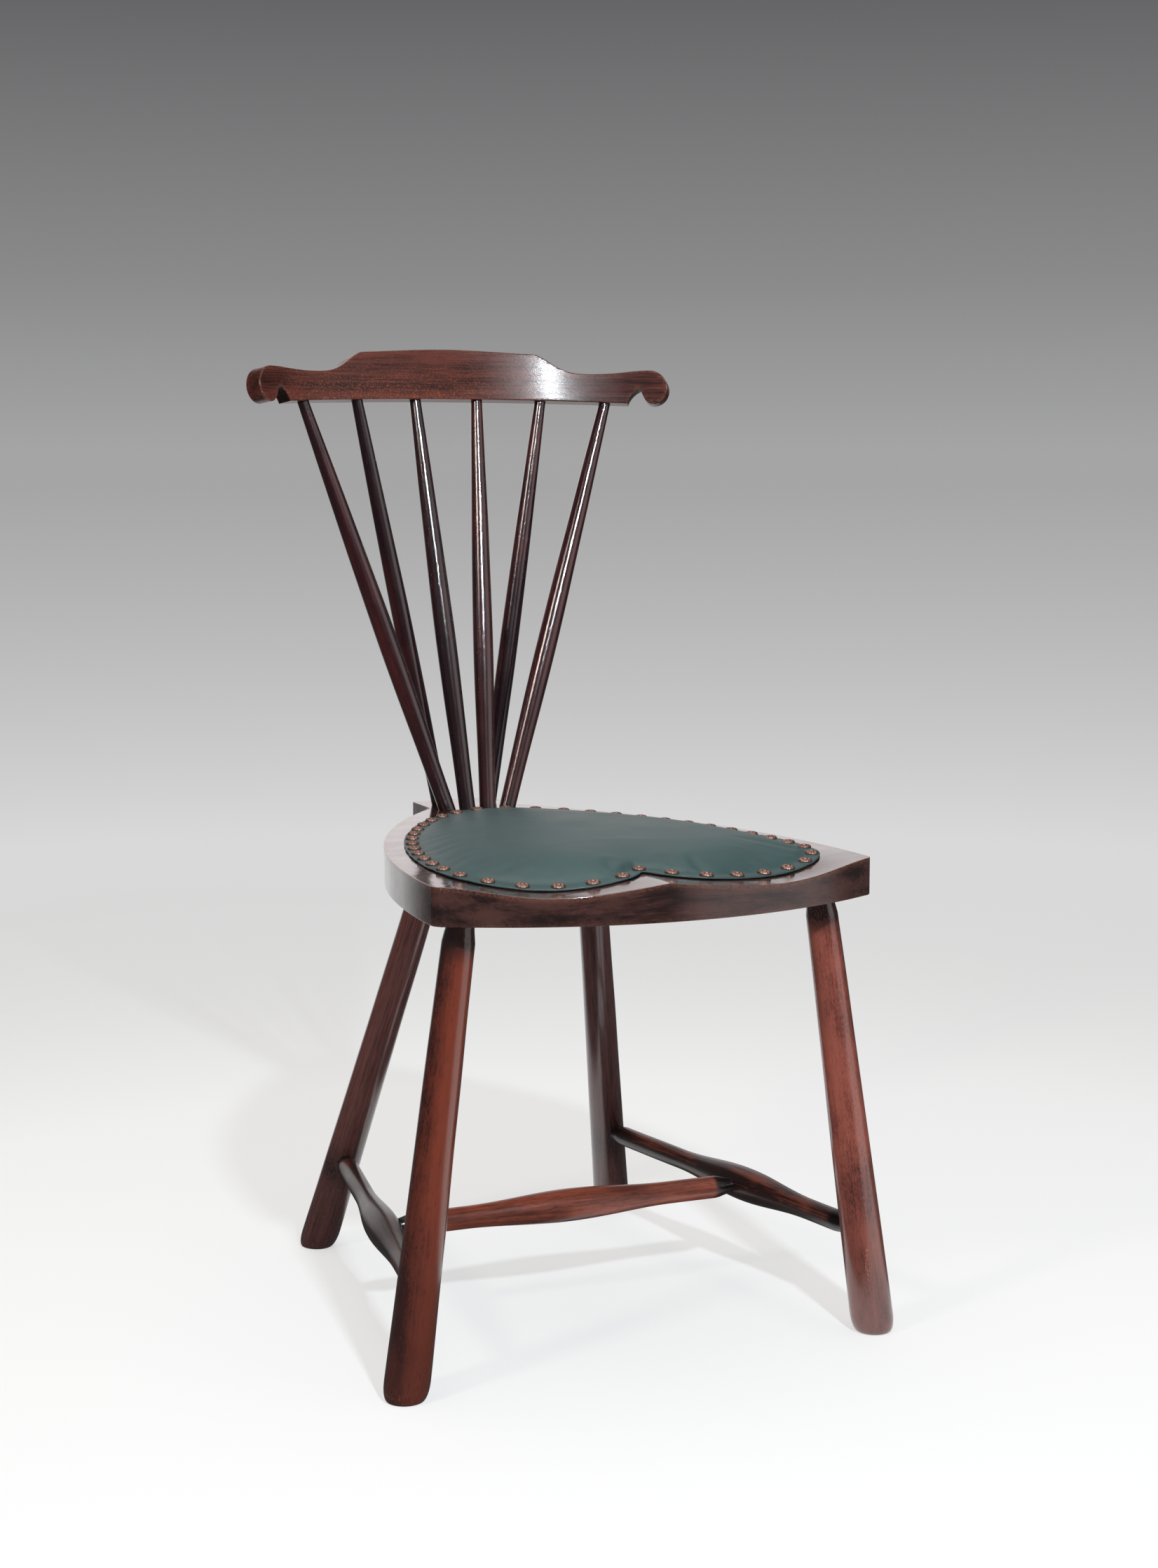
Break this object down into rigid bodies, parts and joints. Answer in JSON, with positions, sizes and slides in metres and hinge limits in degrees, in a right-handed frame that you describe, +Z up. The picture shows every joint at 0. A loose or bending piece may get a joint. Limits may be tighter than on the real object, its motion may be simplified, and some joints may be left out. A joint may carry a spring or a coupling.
{
  "type": "fan back chair",
  "caption": "Wooden dining chair with splayed turned legs joined by an H stretcher, fanned swelled sticks under a bent crest rail with curled ears, and a nailed heart-shaped leather seat pad.",
  "frame": {"origin": "on the floor, under the middle of the chair's bounding box", "axes": "+Z up, the chair faces -Y, +X to the right as seen from the front"},
  "size_m": [0.4886, 0.5926, 0.8953],
  "materials": {
    "seat_wood": "dark reddish stain under old polish",
    "crest_wood": "dark reddish stain under old polish",
    "stick_wood": "dark reddish stain under old polish",
    "leg_wood": "dark reddish stain under old polish",
    "stretcher_wood": "dark reddish stain under old polish",
    "green_leather": "dark teal, satin",
    "horsehair": "loose stuffing",
    "nail_metal": "aged copper brown, embossed heads"
  },
  "bodies": {
    "root": {"brace_stick_left": "stick_wood", "brace_stick_right": "stick_wood", "centre_stretcher": "stretcher_wood", "crest_rail": "crest_wood", "front_leg_left": "leg_wood", "front_leg_right": "leg_wood", "leather_cover": "green_leather", "nail_01": "nail_metal", "nail_02": "nail_metal", "nail_03": "nail_metal", "nail_04": "nail_metal", "nail_05": "nail_metal", "nail_06": "nail_metal", "nail_07": "nail_metal", "nail_08": "nail_metal", "nail_09": "nail_metal", "nail_10": "nail_metal", "nail_11": "nail_metal", "nail_12": "nail_metal", "nail_13": "nail_metal", "nail_14": "nail_metal", "nail_15": "nail_metal", "nail_16": "nail_metal", "nail_17": "nail_metal", "nail_18": "nail_metal", "nail_19": "nail_metal", "nail_20": "nail_metal", "nail_21": "nail_metal", "nail_22": "nail_metal", "nail_23": "nail_metal", "nail_24": "nail_metal", "nail_25": "nail_metal", "nail_26": "nail_metal", "nail_27": "nail_metal", "nail_28": "nail_metal", "nail_29": "nail_metal", "nail_30": "nail_metal", "nail_31": "nail_metal", "nail_32": "nail_metal", "nail_33": "nail_metal", "nail_34": "nail_metal", "nail_35": "nail_metal", "nail_36": "nail_metal", "nail_37": "nail_metal", "nail_38": "nail_metal", "nail_39": "nail_metal", "nail_40": "nail_metal", "nail_41": "nail_metal", "nail_42": "nail_metal", "rear_leg_left": "leg_wood", "rear_leg_right": "leg_wood", "seat": "seat_wood", "seat_stuffing": "horsehair", "side_stretcher_left": "stretcher_wood", "side_stretcher_right": "stretcher_wood", "stick_inner_left": "stick_wood", "stick_inner_right": "stick_wood", "stick_outer_left": "stick_wood", "stick_outer_right": "stick_wood"}
  },
  "joints": []
}
